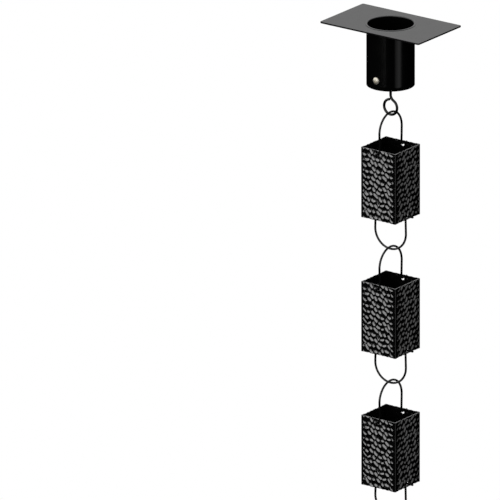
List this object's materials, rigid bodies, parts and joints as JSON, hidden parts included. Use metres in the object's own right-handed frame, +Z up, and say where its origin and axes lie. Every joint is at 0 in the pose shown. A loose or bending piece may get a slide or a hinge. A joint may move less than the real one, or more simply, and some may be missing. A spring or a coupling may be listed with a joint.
{
  "type": "rain chain",
  "caption": "Rain chain of hammered square metal cups linked by bent wire bails, hung on a hook and screw in a gutter outlet adapter.",
  "frame": {"origin": "on the spout's axis in the plane of the adapter plate's underside, which lies on the gutter floor", "axes": "+Z up, the chain hangs down -Z; X along the plate's long side; the cross screw's head is on the -Y side"},
  "size_m": [0.145, 0.087, 0.6232],
  "materials": {
    "black_sheet": "satin",
    "black_wire": "satin",
    "bright_screw": "satin"
  },
  "bodies": {
    "adapter": {"adapter_plate": "black_sheet", "adapter_spout": "black_sheet", "cross_screw": "bright_screw", "cross_nut": "bright_screw"},
    "hanger_hook": {"hanger_hook": "black_wire"},
    "upper_bail_1": {"upper_bail_1": "black_wire"},
    "cup_1": {"cup_1": "black_sheet"},
    "lower_bail_1": {"lower_bail_1": "black_wire"},
    "upper_bail_2": {"upper_bail_2": "black_wire"},
    "cup_2": {"cup_2": "black_sheet"},
    "lower_bail_2": {"lower_bail_2": "black_wire"},
    "upper_bail_3": {"upper_bail_3": "black_wire"},
    "cup_3": {"cup_3": "black_sheet"},
    "lower_bail_3": {"lower_bail_3": "black_wire"}
  },
  "joints": [
    {"name": "hook_swing", "type": "hinge", "parent": "adapter", "child": "hanger_hook", "pos_m": [0, 0, -0.062], "axis": [0, 1, 0], "range_deg": [-45, 45]},
    {"name": "upper_bail_1_swing", "type": "hinge", "parent": "hanger_hook", "child": "upper_bail_1", "pos_m": [0, 0, -0.1119], "axis": [1, 0, 0], "range_deg": [-60, 60]},
    {"name": "cup_1_swing", "type": "hinge", "parent": "upper_bail_1", "child": "cup_1", "pos_m": [0, 0, -0.15455], "axis": [0, -1, 0], "range_deg": [-60, 60]},
    {"name": "lower_bail_1_swing", "type": "hinge", "parent": "cup_1", "child": "lower_bail_1", "pos_m": [0, 0, -0.23485], "axis": [-1, 0, 0], "range_deg": [-60, 60]},
    {"name": "upper_bail_2_swing", "type": "hinge", "parent": "lower_bail_1", "child": "upper_bail_2", "pos_m": [0, 0, -0.2807], "axis": [-1, 0, 0], "range_deg": [-60, 60]},
    {"name": "cup_2_swing", "type": "hinge", "parent": "upper_bail_2", "child": "cup_2", "pos_m": [0, 0, -0.32365], "axis": [0, 1, 0], "range_deg": [-60, 60]},
    {"name": "lower_bail_2_swing", "type": "hinge", "parent": "cup_2", "child": "lower_bail_2", "pos_m": [0, 0, -0.40395], "axis": [1, 0, 0], "range_deg": [-60, 60]},
    {"name": "upper_bail_3_swing", "type": "hinge", "parent": "lower_bail_2", "child": "upper_bail_3", "pos_m": [0, 0, -0.4498], "axis": [1, 0, 0], "range_deg": [-60, 60]},
    {"name": "cup_3_swing", "type": "hinge", "parent": "upper_bail_3", "child": "cup_3", "pos_m": [0, 0, -0.49275], "axis": [0, -1, 0], "range_deg": [-60, 60]},
    {"name": "lower_bail_3_swing", "type": "hinge", "parent": "cup_3", "child": "lower_bail_3", "pos_m": [0, 0, -0.57305], "axis": [-1, 0, 0], "range_deg": [-60, 60]}
  ]
}
